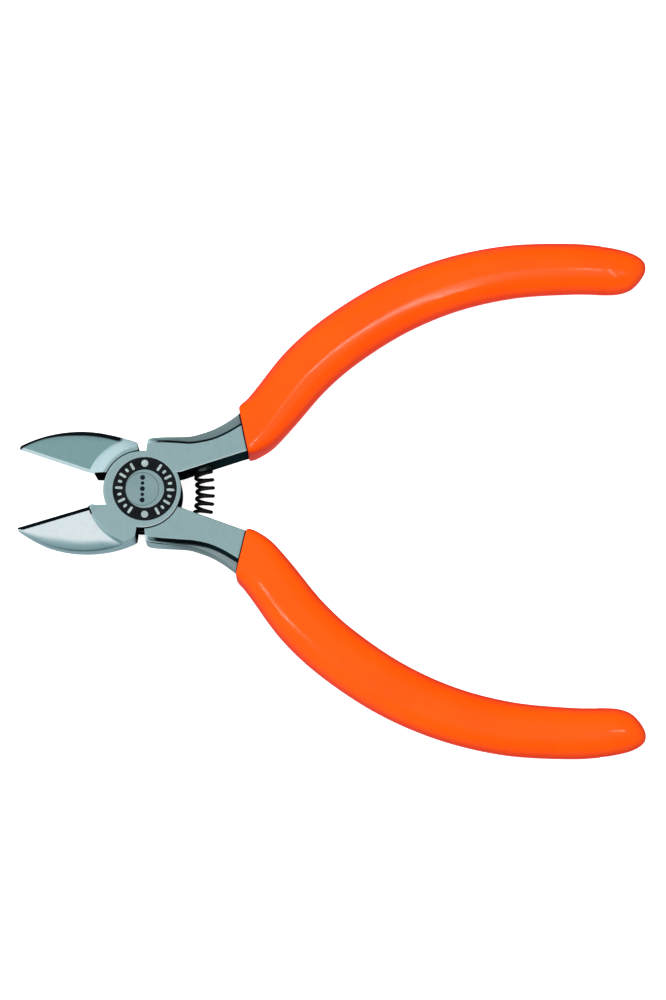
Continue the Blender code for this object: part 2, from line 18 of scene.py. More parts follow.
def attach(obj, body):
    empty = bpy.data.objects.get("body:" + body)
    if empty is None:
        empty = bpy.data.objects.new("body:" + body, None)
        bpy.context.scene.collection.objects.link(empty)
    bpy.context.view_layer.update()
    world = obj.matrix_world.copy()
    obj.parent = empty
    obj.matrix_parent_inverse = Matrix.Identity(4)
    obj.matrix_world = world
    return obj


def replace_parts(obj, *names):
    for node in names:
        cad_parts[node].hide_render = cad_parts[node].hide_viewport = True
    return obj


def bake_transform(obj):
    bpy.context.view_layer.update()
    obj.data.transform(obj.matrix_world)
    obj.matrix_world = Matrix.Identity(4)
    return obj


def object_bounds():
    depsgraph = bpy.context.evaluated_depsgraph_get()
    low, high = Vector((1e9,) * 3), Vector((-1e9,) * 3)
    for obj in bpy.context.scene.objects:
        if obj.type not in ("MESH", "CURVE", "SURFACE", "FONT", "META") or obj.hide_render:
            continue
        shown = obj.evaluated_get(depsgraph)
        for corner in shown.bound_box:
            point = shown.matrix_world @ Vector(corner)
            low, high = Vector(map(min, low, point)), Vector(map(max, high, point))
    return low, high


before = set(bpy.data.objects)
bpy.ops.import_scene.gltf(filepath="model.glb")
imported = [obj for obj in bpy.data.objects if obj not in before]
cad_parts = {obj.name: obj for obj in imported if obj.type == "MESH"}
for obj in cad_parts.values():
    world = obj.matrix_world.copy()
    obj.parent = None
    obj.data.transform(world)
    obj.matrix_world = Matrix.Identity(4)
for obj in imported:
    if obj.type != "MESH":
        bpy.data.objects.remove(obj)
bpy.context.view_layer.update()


MM = 0.001
REAR, FRONT = "rear_half", "front_half"

# ---------------------------------------------------------------- joint
THICKNESS = 8.6
MID = THICKNESS / 2
LAP_GAP = 0.03
LAP_OVERRUN = 0.8  # how far each boss is built past the middle before its recess is cut
PAD_RISE = 0.002  # the forged pads blend into the joint faces
TANG_RISE = 0.005
BOSS_R = 6.85
BOSS_CORNER = 0.2
BOSS_CORNER_MID = 0.06  # middle point of the boss's broken corner
RECESS_R = BOSS_R + 0.13
RECESS_FLARE = 0.12
RIVET_HEAD_R = 2.9
RIVET_HEAD_H = 1.2
RIVET_SHANK_R = 2.2
RIVET_FIT = 0.003  # in the rear lever
RIVET_RUN = 0.06  # in the front lever
SEAT_GAP = 0.03
RING_R = 5.65
RING_IN_R = 3.41
RING_C = (0.45, 0.05)  # the ring mark stands a little off the pivot's axis
RING_DEPTH = 0.12
HALF_OPEN = 17.6  # degrees
ROUND = 192

# ---------------------------------------------------------------- jaws
EDGE_IN_R = 8.9
TIP_R = 22.9
SPINE_R = 20.88
SPINE_C = (-10.6, -10.15)
SHOULDER = 82.7  # degrees, the widest the jaw reaches
THROAT_Y = 2.9
EDGE_SET = 0.012
EDGE_Z = MID + 3.30
LAND_W = {1: 0.54, -1: 0.74}
LAND_DROP = {1: 0.22, -1: 0.56}
APEX_H = 0.04
FRONT_TILT = math.tan(math.radians(13.0))
BEVEL_FALL = 1.5
REAR_TILT = math.tan(math.radians(11.0))
REAR_TILT_R = 9.8  # the rear face tilts from here out
ROLL_W = 2.7  # gentle fall towards the spine, then a small corner
ROLL_H = 0.56
ROLL_FADE = 2.0
ROLL_SHARES = (1, 0.75, 0.5, 0.32, 0.24, 0.17, 0.11, 0.06, 0.02, 0)
CORNER = 0.36
NARROW = 0.45  # land and roll take no more than this share of the width
REAR_CHAMFER = 0.3
# start and end radius of the slope between the joint's front face and the jaw's
ROOT_REAR_LEVER = (7.55, 9.96)
ROOT_FRONT_LEVER = (9.72, 10.02)
LONG_ROOT = 0.6  # a root longer than this is eased and cut finer
BREAK_R, BREAK_RUN, BREAK_DEPTH = 7.3, 0.5, 0.16  # broken throat edge of the flat

# ---------------------------------------------------------------- tangs
STOP_ANGLE = 85.3  # degrees
WALL_X, WALL_Y, WALL_SLOPE = 6.4, 3.05, 0.34
STEP_W, STEP_H = 0.58, 1.35
FLANGE_H = MID - 1.36
PAD_SHIFT = 0.45  # the pad is this much narrower on the front lever, wider on the rear
CORE_H = 3.5
DIP_WALL = 1.2
GRIP_GAP = 0.02

# ---------------------------------------------------------------- spring
SPRING_ARC_R = 17.0
SPRING_X = 10.9
ARC_X = SPRING_X - SPRING_ARC_R  # centre of the spring's arc
SPRING_OD = 3.55
WIRE = 0.64
SPRING_HALF = 23.8  # degrees of arc to each side
SPRING_TURNS = 10.5
WALL_HALF = 15.0  # degrees of arc to a pocket's mouth
POCKET_R = 2.1
POCKET_DEPTH = 3.0
POCKET_OVERRUN = 4.0
PEG_R = 0.85
PEG_SUNK = 1.3
PEG_FIT = 0.03

# ---------------------------------------------------------------- grips
# one value per rib: half height, and power of the superellipse section
GRIP_H = [5.05, 5.0, 4.9, 4.8, 4.7, 4.7, 4.7, 4.65, 4.55, 4.45, 4.3]
GRIP_SQUARE = [8.0, 5.5, 3.6, 2.7, 2.45, 2.4, 2.4, 2.4, 2.35, 2.3, 2.25]
# outer (x, y), inner (x, y)
GRIP_RIBS = [
    ((16.65, 14.98), (18.55, 6.55)),
    ((17.15, 15.75), (20.20, 6.98)),
    ((17.95, 16.70), (23.05, 8.75)),
    ((19.45, 18.70), (26.75, 12.75)),
    ((24.80, 25.75), (32.00, 19.00)),
    ((31.80, 32.10), (37.90, 24.25)),
    ((41.65, 38.45), (46.25, 29.75)),
    ((52.40, 42.95), (55.40, 33.80)),
    ((63.75, 45.50), (65.20, 36.20)),
    ((75.10, 46.05), (75.20, 37.05)),
    ((82.00, 45.60), (82.00, 37.05)),
]
LAST_RIB = len(GRIP_RIBS) - 1
CORE_FROM = 2.45  # rib position where the core begins
# the end: x, outer y, inner y, share of the half height
END_RIBS = [
    (80.4, 45.65, 37.02, 1.00),
    (82.0, 45.47, 37.03, 1.00),
    (83.6, 45.18, 37.13, 0.97),
    (85.2, 44.80, 37.52, 0.88),
    (86.4, 44.38, 38.17, 0.76),
    (87.4, 43.88, 39.15, 0.60),
    (88.10, 43.35, 40.10, 0.42),
    (88.52, 42.80, 40.90, 0.25),
    (88.68, 42.30, 41.45, 0.11),
]


# ================================================================ node helpers
class Nodes:
    """Adds and links shader nodes in one tree."""

    def __init__(self, tree):
        self.tree = tree
        tree.nodes.clear()

    def add(self, kind, values=None, **settings):
        node = self.tree.nodes.new("ShaderNode" + kind)
        for key, value in settings.items():
            setattr(node, key, value)
        self.fill(node, values or {})
        return node

    def fill(self, node, values):
        """Links or sets inputs, given by name or number."""
        for key, value in values.items():
            if isinstance(value, bpy.types.NodeSocket):
                self.tree.links.new(value, node.inputs[key])
            else:
                node.inputs[key].default_value = value

    def math(self, how, first, second=0.0):
        return self.add("Math", {0: first, 1: second, 2: 0.0}, operation=how).outputs[0]

    def plus(self, first, second):
        return self.math("ADD", first, second)

    def minus(self, first, second):
        return self.math("SUBTRACT", first, second)

    def times(self, first, second):
        return self.math("MULTIPLY", first, second)

    def greater(self, first, second):
        return self.math("MAXIMUM", first, second)

    def length(self, x, y):
        return self.math("SQRT", self.plus(self.times(x, x), self.times(y, y)))

    def distance(self, x, y, centre):
        """Distance in the XY plane from a centre in millimetres."""
        return self.length(self.minus(x, centre[0] * MM), self.minus(y, centre[1] * MM))

    def span(self, value, off, on, at_off=0.0, at_on=1.0):
        """Smooth step from at_off, where value is off, to at_on, where it is on."""
        limits = {"From Min": off, "From Max": on, "To Min": at_off, "To Max": at_on}
        node = self.add(
            "MapRange", {"Value": value, **limits}, interpolation_type="SMOOTHSTEP"
        )
        return node.outputs["Result"]

    def zone(self, value, off, on, at_on=1.0):
        """The same step from 0, with its limits in millimetres."""
        return self.span(value, off * MM, on * MM, at_on=at_on)

    def mix(self, share, first, second):
        return self.add("Mix", {0: share, 6: first, 7: second}, data_type="RGBA").outputs[2]

    def noise(self, vector, scale, detail=2.0, rough=0.5):
        values = {"Vector": vector, "Scale": scale, "Detail": detail, "Roughness": rough}
        return self.add("TexNoise", values).outputs["Fac"]

    def mapped(self, vector, scale, turn):
        values = {"Vector": vector, "Scale": scale, "Rotation": (0, 0, turn)}
        return self.add("Mapping", values).outputs["Vector"]

    def bump(self, height, strength, distance, normal=None):
        values = {"Height": height, "Strength": strength, "Distance": distance}
        if normal is not None:
            values["Normal"] = normal
        return self.add("Bump", values).outputs["Normal"]

    def position(self):
        return self.add("TexCoord").outputs["Object"]

    def split(self, vector):
        return self.add("SeparateXYZ", {0: vector}).outputs


def new_material(name, kind="BsdfPrincipled"):
    made = bpy.data.materials.new(name)
    made.use_nodes = True
    net = Nodes(made.node_tree)
    shader = net.add(kind)
    net.add("OutputMaterial", {"Surface": shader.outputs[0]})
    return made, net, shader


def shade(colour, factor, lift=0.0):
    return tuple(min(1.0, c * factor + lift) for c in colour[:3]) + (1,)


# ================================================================ steel
def rivet_seam(net, where):
    """1 on the rim of the rivet's front head."""
    x, y, z = net.split(where)
    off_rim = net.math("ABSOLUTE", net.minus(net.length(x, y), RIVET_HEAD_R * MM))
    return net.times(
        net.zone(off_rim, off=0.20, on=0.16),
        net.zone(z, off=THICKNESS - 0.6, on=THICKNESS - 0.5),
    )


def ring_disc_mask(net, x, y, z):
    """1 on the front face inside the ring mark."""
    return net.times(
        net.zone(net.distance(x, y, RING_C), off=3.50, on=3.44),
        net.zone(z, off=THICKNESS - 0.3, on=THICKNESS - 0.2),
    )


def wall_shade_mask(net, x, beside, deep, slant):
    """Places whose steep walls get painted shade: the inner wall, the step, the throat and the
    notch.
    """
    inside = net.times(net.zone(slant, off=3.2, on=2.9), net.zone(x, off=3.6, on=4.0))
    step = net.times(
        net.zone(x, off=0.4, on=3.2),
        net.zone(deep, off=FLANGE_H - 0.16, on=FLANGE_H + 0.02),
    )
    throat = net.times(
        net.zone(beside, off=4.6, on=4.3),
        net.times(net.zone(x, off=-3.6, on=-4.0), net.zone(x, off=-9.5, on=-9.1)),
    )
    notch = net.times(
        net.zone(net.math("ABSOLUTE", x), off=1.9, on=1.6),
        net.zone(beside, off=8.5, on=8.2),
    )
    return net.greater(net.greater(inside, step), net.greater(throat, notch))


def dip_rim_shadow_mask(net, x, beside):
    """A painted shadow line across the tang where the dip ends."""
    (outer_x, outer_y), (inner_x, inner_y) = GRIP_RIBS[0]
    rim_length = math.hypot(inner_x - outer_x, inner_y - outer_y)
    beyond = net.plus(
        net.times(net.minus(x, outer_x * MM), (inner_y - outer_y) / rim_length),
        net.times(net.minus(beside, outer_y * MM), -(inner_x - outer_x) / rim_length),
    )
    return net.zone(beyond, off=0.30, on=0.16, at_on=0.95)


def land_reflection_mask(net, x, y, normal_z):
    """Painted dark reflection on the edge land of the -Y jaw."""
    half_open = math.radians(HALF_OPEN)
    off_edge = net.minus(
        net.times(y, -math.cos(half_open)), net.times(x, -math.sin(half_open))
    )
    return net.times(
        net.times(
            net.zone(off_edge, off=LAND_W[-1] + 0.02, on=LAND_W[-1] - 0.08),
            net.zone(y, off=-1.9, on=-2.1),
        ),
        net.times(net.zone(x, off=-8.2, on=-8.5), net.span(normal_z, off=0.93, on=0.88)),
    )


def spine_reflection_mask(net, x, y):
    """Painted dark reflection on the rounded spine of the +Y jaw; it narrows towards the tip."""
    reach = net.distance(x, y, SPINE_C)
    reach = net.minus(reach, net.zone(x, off=-11.0, on=-19.0, at_on=0.4 * MM))
    return net.times(
        net.zone(reach, off=SPINE_R - 1.20, on=SPINE_R - 0.40),
        net.times(net.zone(x, off=-3.4, on=-5.2), net.zone(y, off=2.0, on=2.4)),
    )


def flange_mask(net, x, deep, slant):
    """The lower flange along the outside of a tang."""
    return net.times(
        net.times(net.zone(x, off=2.0, on=8.5), net.zone(slant, off=3.3, on=3.7)),
        net.zone(deep, off=FLANGE_H + 0.45, on=FLANGE_H + 0.2),
    )


def steel_material(name, base, grind_turn, rough=0.30, edge_highlight_and_wear=0.25, ring_disc=False):
    """Satin ground steel: fine grinding lines, soft stains and lighter edges, a painted
    highlight that also stands for wear.
    """
    made, net, shader = new_material(name)
    where = net.position()

    lines = net.mapped(where, scale=(9000, 420, 900), turn=grind_turn)
    grind = net.noise(lines, scale=1.0, detail=3.0, rough=0.6)
    cross_lines = net.mapped(where, scale=(2600, 300, 600), turn=grind_turn + 0.35)
    cross = net.noise(cross_lines, scale=1.0, detail=2.0, rough=0.6)
    cloud = net.noise(where, scale=260.0, detail=4.0, rough=0.6)
    blot = net.noise(where, scale=900.0, detail=3.0, rough=0.55)
    fine = net.plus(net.times(grind, 0.6), net.times(cross, 0.4))

    # the rivet's head is ground in one pass with the boss, so its seam hardly shows
    edge_radius = net.times(net.minus(1.0, rivet_seam(net, where)), 0.08 * MM)
    soft = net.add("Bevel", {"Radius": edge_radius}, samples=6).outputs[0]
    flat = net.add("NewGeometry").outputs["Normal"]
    dot = net.add("VectorMath", {0: soft, 1: flat}, operation="DOT_PRODUCT")
    edge = net.span(dot.outputs["Value"], off=0.985, on=0.86)

    tone = net.mix(net.span(fine, off=0.38, on=0.62), shade(base, 0.945), shade(base, 0.975))
    grit = net.noise(where, scale=1700.0, detail=2.0, rough=0.7)
    grit_tone = (base[0] * 0.90, base[1] * 0.86, base[2] * 0.86, 1)
    tone = net.mix(net.span(grit, off=0.50, on=0.74, at_on=0.75), tone, grit_tone)
    tone = net.mix(net.span(cloud, off=0.52, on=0.75, at_on=0.5), tone, shade(base, 0.86))
    # painted highlight: edges are lightened where they would catch the light, also standing for
    # wear
    tone = net.mix(net.times(edge, edge_highlight_and_wear), tone, shade(base, 1.25, lift=0.04))

    x, y, z = net.split(where)
    if ring_disc:  # the middle of the ring mark is a shade duller
        on_disc = ring_disc_mask(net, x, y, z)
        tone = net.mix(net.times(on_disc, 0.85), tone, shade(base, 0.80))

    # painted shade: black is painted on the steep walls beside the spring, in the throat, in the
    # notch under the boss and on the step, for the shadow that falls there; on the step it also
    # stands for forge scale left unground
    normal_z = net.split(net.add("NewGeometry").outputs["True Normal"])[2]
    level_face = net.math("ABSOLUTE", normal_z)
    steep = net.span(level_face, off=0.72, on=0.50)
    beside = net.math("ABSOLUTE", y)
    deep = net.math("ABSOLUTE", net.minus(z, MID * MM))
    slant = net.minus(beside, net.times(x, 0.35))
    scale = net.times(wall_shade_mask(net, x, beside, deep, slant), steep)
    # so are a painted shadow line at the dip, and painted dark reflections on the edge land and
    # on the corner of the spine
    rim = dip_rim_shadow_mask(net, x, beside)
    land = land_reflection_mask(net, x, y, normal_z)
    spine = spine_reflection_mask(net, x, y)
    scale = net.greater(net.greater(scale, rim), net.times(land, 1.0))
    spine = net.times(spine, net.span(level_face, off=0.04, on=0.15))  # not the side wall
    scale = net.greater(scale, net.times(spine, 0.93))

    flange = flange_mask(net, x, deep, slant)
    tone = net.mix(net.times(flange, 0.9), tone, shade(base, 0.44))
    # painted shade colours: black by the joint, a dark teal further along the tang
    joint_painted_shade, tang_painted_shade = (0.002, 0.003, 0.004, 1), (0.004, 0.012, 0.015, 1)
    black = net.mix(net.zone(x, off=9.0, on=15.0), joint_painted_shade, tang_painted_shade)
    # the colour darkens before the metal fades, so no pale band shows where the painted shade
    # begins
    tone = net.mix(net.span(scale, off=0.0, on=0.5), tone, black)
    bare = net.span(scale, off=0.45, on=1.0, at_off=1.0, at_on=0.0)

    level = net.plus(rough - 0.03, net.times(fine, 0.06))
    level = net.plus(level, net.times(blot, 0.04))
    level = net.plus(level, net.times(flange, 0.18))
    ridges = net.bump(fine, strength=0.045, distance=0.00002, normal=soft)
    ridges = net.bump(blot, strength=0.05, distance=0.00006, normal=ridges)
    net.fill(shader, {
        "Base Color": tone,
        "Metallic": bare,
        "Specular IOR Level": net.times(bare, 0.5),
        "Roughness": level,
        "Anisotropic": 0.25,
        "Normal": ridges,
    })
    return made


# ================================================================ other materials
def wire_material(name):
    """Blackened spring wire: fine grain and a few bright rub marks."""
    made, net, shader = new_material(name)
    where = net.position()
    grain = net.noise(where, scale=5200.0, detail=3.0, rough=0.6)
    rub = net.noise(where, scale=900.0)
    black, rubbed = (0.012, 0.013, 0.015, 1), (0.05, 0.055, 0.06, 1)
    net.fill(shader, {
        "Base Color": net.mix(net.span(rub, off=0.58, on=0.75), black, rubbed),
        "Metallic": 0.85,
        "Roughness": net.plus(0.34, net.times(grain, 0.16)),
        "Normal": net.bump(grain, strength=0.2, distance=0.00002),
    })
    return made


def grip_material(name):
    """Dipped PVC: even orange, a soft gloss, a faint wavy skin and painted shade where the
    surface turns away.
    """
    made, net, shader = new_material(name)
    where = net.position()
    cloud = net.noise(where, scale=70.0, detail=3.0)
    speck = net.noise(where, scale=2600.0)
    wave = net.noise(where, scale=190.0, rough=0.4)
    deep_orange, light_orange = (0.91, 0.071, 0.0003, 1), (0.96, 0.084, 0.0006, 1)
    speck_orange, silhouette_shade_orange = (0.80, 0.075, 0.001, 1), (0.64, 0.024, 0.0004, 1)
    tone = net.mix(net.span(cloud, off=0.3, on=0.7), deep_orange, light_orange)
    tone = net.mix(net.span(speck, off=0.62, on=0.8, at_on=0.12), tone, speck_orange)
    # painted shade: the orange darkens towards the silhouette, where the surface turns away from
    # view
    graze = net.add("LayerWeight", {"Blend": 0.5}).outputs["Facing"]
    turned_away = net.span(graze, off=0.14, on=0.80)
    skin = net.bump(wave, strength=0.25, distance=0.00012)
    net.fill(shader, {
        "Base Color": net.mix(turned_away, tone, silhouette_shade_orange),
        "Roughness": net.plus(0.33, net.times(cloud, 0.10)),
        "Specular IOR Level": 0.03,
        "Coat Weight": net.times(net.minus(1.0, turned_away), 0.10),
        "Coat Roughness": 0.11,
        "Normal": net.bump(speck, strength=0.05, distance=0.00003, normal=skin),
    })
    return made


def enamel_material(name, base, rough, metal=0.0):
    """Fired black fill, or the light metal that shows through it."""
    made, net, shader = new_material(name)
    where = net.position()
    grain = net.noise(where, scale=3000.0, detail=3.0, rough=0.6)
    cloud = net.noise(where, scale=600.0)
    lighter = shade(base, 1.3, lift=0.002)
    net.fill(shader, {
        "Base Color": net.mix(net.span(cloud, off=0.35, on=0.7), base, lighter),
        "Metallic": metal,
        "Specular IOR Level": 0.08,
        "Roughness": net.plus(rough, net.times(grain, 0.12)),
        "Normal": net.bump(grain, strength=0.15, distance=0.00002),
    })
    return made


STEEL = (0.60, 0.74, 0.75, 1)
RIVET_STEEL = (0.585, 0.725, 0.74, 1)
# painted shade: the pegs sit deep in the spring pockets, so their steel is painted near black
PEG_SHADE_STEEL = (0.06, 0.08, 0.085, 1)
STEEL_MAT = steel_material("ground_steel", STEEL, grind_turn=0.25, ring_disc=True)
REAR_STEEL_MAT = steel_material("ground_steel_rear", STEEL, grind_turn=-0.35)
RIVET_MAT = steel_material(
    "rivet_steel", RIVET_STEEL, grind_turn=0.35, edge_highlight_and_wear=0.1, ring_disc=True
)
PEG_MAT = steel_material("peg_steel", PEG_SHADE_STEEL, grind_turn=0.0, rough=0.40)
WIRE_MAT = wire_material("black_spring_wire")
GRIP_MAT = grip_material("orange_dip")
ENAMEL_MAT = enamel_material("black_ring_fill", base=(0.004, 0.005, 0.006, 1), rough=0.5)
MARK_MAT = enamel_material(
    "ring_mark_metal", base=(0.55, 0.62, 0.60, 1), rough=0.34, metal=0.9
)
DARK_MARK_MAT = enamel_material("rivet_mark_fill", base=(0.003, 0.006, 0.008, 1), rough=0.5)


# ================================================================ mesh helpers
def mesh_object(name, shape, look, smooth=32.0):
    bmesh.ops.scale(shape, vec=(MM, MM, MM), verts=shape.verts)
    bmesh.ops.recalc_face_normals(shape, faces=shape.faces)
    mesh = bpy.data.meshes.new(name)
    shape.to_mesh(mesh)
    shape.free()
    mesh.materials.append(look)
    mesh.shade_smooth()
    mesh.set_sharp_from_angle(angle=math.radians(smooth))
    made = bpy.data.objects.new(name, mesh)
    bpy.context.scene.collection.objects.link(made)
    return made


def combine(target, other, how):
    """Boolean, applied at once; the other object is removed."""
    step = target.modifiers.new(how, "BOOLEAN")
    step.operation = how
    step.object = other
    step.solver = "EXACT"
    bpy.context.view_layer.update()
    graph = bpy.context.evaluated_depsgraph_get()
    made = bpy.data.meshes.new_from_object(target.evaluated_get(graph), depsgraph=graph)
    target.modifiers.clear()
    old = target.data
    target.data = made
    bpy.data.meshes.remove(old)
    bpy.data.objects.remove(other, do_unlink=True)


def tidy(made, smooth=32.0):
    """Merges near-double points, then sets smooth shading that keeps flats flat."""
    shape = bmesh.new()
    shape.from_mesh(made.data)
    bmesh.ops.remove_doubles(shape, verts=shape.verts, dist=2e-7)
    bmesh.ops.recalc_face_normals(shape, faces=shape.faces)
    shape.to_mesh(made.data)
    shape.free()
    made.data.shade_smooth()
    made.data.set_sharp_from_angle(angle=math.radians(smooth))
    weigh = made.modifiers.new("weighted_normals", "WEIGHTED_NORMAL")
    weigh.keep_sharp = True


def set_look(made, look):
    made.data.materials.clear()
    made.data.materials.append(look)


def add_loop(shape, points):
    return [shape.verts.new(p) for p in points]


def bridge(shape, loops):
    """Faces between each closed loop and the next."""
    count = len(loops[0])
    for low, high in zip(loops, loops[1:]):
        for i in range(count):
            j = (i + 1) % count
            shape.faces.new((low[i], low[j], high[j], high[i]))


def circle(radius, steps, centre=(0.0, 0.0)):
    angles = [2 * math.pi * i / steps for i in range(steps)]
    return [
        (centre[0] + radius * math.cos(a), centre[1] + radius * math.sin(a)) for a in angles
    ]


def ring_loft(name, rings, look, smooth=32.0):
    shape = bmesh.new()
    loops = [add_loop(shape, ring) for ring in rings]
    bridge(shape, loops)
    shape.faces.new(loops[0])
    shape.faces.new(loops[-1][::-1])
    return mesh_object(name, shape, look, smooth)


def circle_loops(shape, profile, steps, centre=(0.0, 0.0)):
    return [
        add_loop(shape, [(x, y, z) for x, y in circle(radius, steps, centre)])
        for radius, z in profile
    ]


def turned(name, profile, look, foot=None, tip=None, steps=ROUND):
    """Solid of (radius, z) points round the Z axis, or moved to foot and aimed at tip."""
    shape = bmesh.new()
    loops = circle_loops(shape, profile, steps)
    bridge(shape, loops)
    shape.faces.new(loops[0][::-1])
    shape.faces.new(loops[-1])
    if foot is not None:
        turn = Vector((0, 0, 1)).rotation_difference((tip - foot).normalized())
        bmesh.ops.transform(
            shape,
            matrix=Matrix.Translation(foot) @ turn.to_matrix().to_4x4(),
            verts=shape.verts,
        )
    return mesh_object(name, shape, look)


def hoop(name, profile, look):
    """Closed ring round RING_C; profile goes once round its section."""
    shape = bmesh.new()
    loops = circle_loops(shape, profile, ROUND, RING_C)
    bridge(shape, loops + loops[:1])
    return mesh_object(name, shape, look)


def plates(name, outlines, low, high, look):
    """Small flat marks: each outline becomes a thin closed plate."""
    shape = bmesh.new()
    for outline in outlines:
        foot = add_loop(shape, [(x, y, low) for x, y in outline])
        top = add_loop(shape, [(x, y, high) for x, y in outline])
        bridge(shape, [foot, top])
        shape.faces.new(top)
        shape.faces.new(foot[::-1])
    return mesh_object(name, shape, look)


def spline(points, pos):
    """Catmull-Rom curve; whole numbers of pos fall on the points."""
    last = len(points) - 1
    i = min(int(pos), last - 1)
    part = pos - i
    start, end = Vector(points[i]), Vector(points[i + 1])
    before = Vector(points[i - 1]) if i > 0 else 2 * start - end
    after = Vector(points[i + 2]) if i + 2 <= last else 2 * end - start
    return 0.5 * (
        2 * start
        + (end - before) * part
        + (2 * before - 5 * start + 4 * end - after) * part**2
        + (3 * start - before - 3 * end + after) * part**3
    )


def number_at(values, pos):
    return spline([(v, 0.0) for v in values], pos)[0]


def rib_at(ribs, pos):
    """Outer and inner point at a position along a table of ribs."""
    return spline([rib[0] for rib in ribs], pos), spline([rib[1] for rib in ribs], pos)


def on_side(rings, side):
    return [[(x, side * y, z) for x, y, z in ring] for ring in rings]


# ================================================================ jaws
# A jaw is lofted from arcs about the pivot: angles in degrees from -X, radii from the axis.
def spine_angle(radius):
    away = math.hypot(*SPINE_C)
    lean = math.degrees(math.atan2(SPINE_C[1], SPINE_C[0])) % 360 - 180
    cosine = (radius * radius + away * away - SPINE_R**2) / (2 * radius * away)
    return min(SHOULDER, math.degrees(math.acos(max(-1, min(1, cosine)))) - lean)


def on_edge(radius):
    return radius >= EDGE_IN_R - 0.02


def inner_angle(radius):
    if on_edge(radius):
        return HALF_OPEN + math.degrees(EDGE_SET / radius)
    return math.degrees(math.asin(min(1, THROAT_Y / radius)))


def jaw_top(radius, angle, root, side):
    """Height of the jaw's front face."""
    off_edge = radius * math.sin(math.radians(angle - HALF_OPEN))
    to_spine = math.radians(spine_angle(radius) - angle) * radius
    width = math.radians(spine_angle(radius) - HALF_OPEN) * radius
    land = min(LAND_W[side], NARROW * width)
    face = EDGE_Z - FRONT_TILT * off_edge
    if off_edge < land:
        face = EDGE_Z - FRONT_TILT * land - LAND_DROP[side] * (1 - off_edge / land)
    roll = min(ROLL_W, NARROW * width)
    fade = min(1.0, max(0.0, (radius - root[1]) / ROLL_FADE))
    if to_spine < roll and fade > 0:
        share = 1 - to_spine / roll
        face -= fade * ROLL_H * (roll / ROLL_W) * share * share
        corner = CORNER * roll / ROLL_W
        if to_spine < corner:
            share = 1 - to_spine / corner
            face -= fade * corner * (1 - math.sqrt(max(0.0, 1 - share * share)))
    root_length = root[1] - root[0]
    blend = min(1.0, max(0.0, (radius - root[0]) / root_length))
    if root_length > LONG_ROOT:  # ground shoulder, eased off at its top
        blend = 0.68 * blend + 0.32 * blend * blend
    flat = THICKNESS + PAD_RISE
    if off_edge < land and radius > BREAK_R:
        run = min(1.0, (radius - BREAK_R) / BREAK_RUN)
        flat -= BREAK_DEPTH * run * (1 - off_edge / land)
    return flat + (face - flat) * blend


def jaw_rows(radius, root, side):
    """(angle, z) points of the front and rear faces, each from the inside outwards."""
    inner = inner_angle(radius)
    width = math.radians(spine_angle(radius) - inner) * radius

    def angle_at(offset):
        return inner + math.degrees(offset / radius)

    land = min(LAND_W[side], NARROW * width)
    roll = min(ROLL_W, NARROW * width)
    middle = width - land - roll
    offsets = [0, land * 0.5, land]
    offsets += [land + middle * k / 8 for k in range(1, 8)]
    offsets += [width - roll * share for share in ROLL_SHARES]
    top = [(angle_at(off), jaw_top(radius, angle_at(off), root, side)) for off in offsets]

    low = -PAD_RISE + max(0.0, REAR_TILT * (radius - REAR_TILT_R))
    chamfer = min(REAR_CHAMFER, 0.2 * width)
    if on_edge(radius):  # the bevel falls from the cutting edge to the rear face
        start = top[0][1] - APEX_H
        bevel = (start - low) / BEVEL_FALL
        if bevel > 0.75 * width:
            bevel = 0.75 * width
            low = max(low, start - BEVEL_FALL * bevel)
    else:
        start = low
        bevel = min(width * 0.5, 3.0)
    bottom = [(angle_at(bevel * k / 3), start + (low - start) * k / 3) for k in range(4)]
    rest = width - bevel - chamfer
    bottom += [(angle_at(bevel + rest * k / 4), low) for k in (1, 2, 3, 4)]
    side_low = min(low + chamfer, top[-1][1] - 0.05)
    bottom += [(angle_at(width - chamfer * 0.35), low + (side_low - low) * 0.3)]
    bottom += [(angle_at(width), side_low)]
    return top, bottom


def chord_share(angle, radius):
    """Brings a point of the arc onto its chord."""
    low, high = inner_angle(radius), spine_angle(radius)
    half = math.radians(high - low) / 2
    return math.cos(half) / math.cos(math.radians(angle - low) - half)


def jaw_radii(root):
    radii = [6.2, 6.7, 7.2, 7.7, 8.1, 8.4, EDGE_IN_R - 0.04, EDGE_IN_R]
    length = root[1] - root[0]
    steps = 12 if length > LONG_ROOT else 2
    radii += [root[0] + length * k / steps for k in range(steps + 1)]
    radii += [root[1] + 0.3 * k for k in range(1, 8)]
    start = radii[-1]
    radii += [start + (TIP_R - start) * k / 48 for k in range(1, 49)]
    radii = sorted({round(radius, 3) for radius in radii})
    kept = [radii[0]]
    for radius in radii[1:]:
        if radius - kept[-1] > 0.035:
            kept.append(radius)
    return kept


def jaw(name, side, root):
    rings = []
    for radius in jaw_radii(root):
        top, bottom = jaw_rows(radius, root, side)
        ring = []
        for angle, z in top + bottom[::-1]:
            # the first ring, buried in the boss, is flat
            reach = radius if rings else radius * chord_share(angle, radius)
            turn = math.radians(angle)
            ring.append((-reach * math.cos(turn), side * reach * math.sin(turn), z))
        rings.append(ring)
    return ring_loft(name, rings, STEEL_MAT)


# ================================================================ tangs
def wall_y(x):
    return WALL_Y + WALL_SLOPE * (x - WALL_X)


STOP_X, STOP_Y = math.cos(math.radians(STOP_ANGLE)), math.sin(math.radians(STOP_ANGLE))
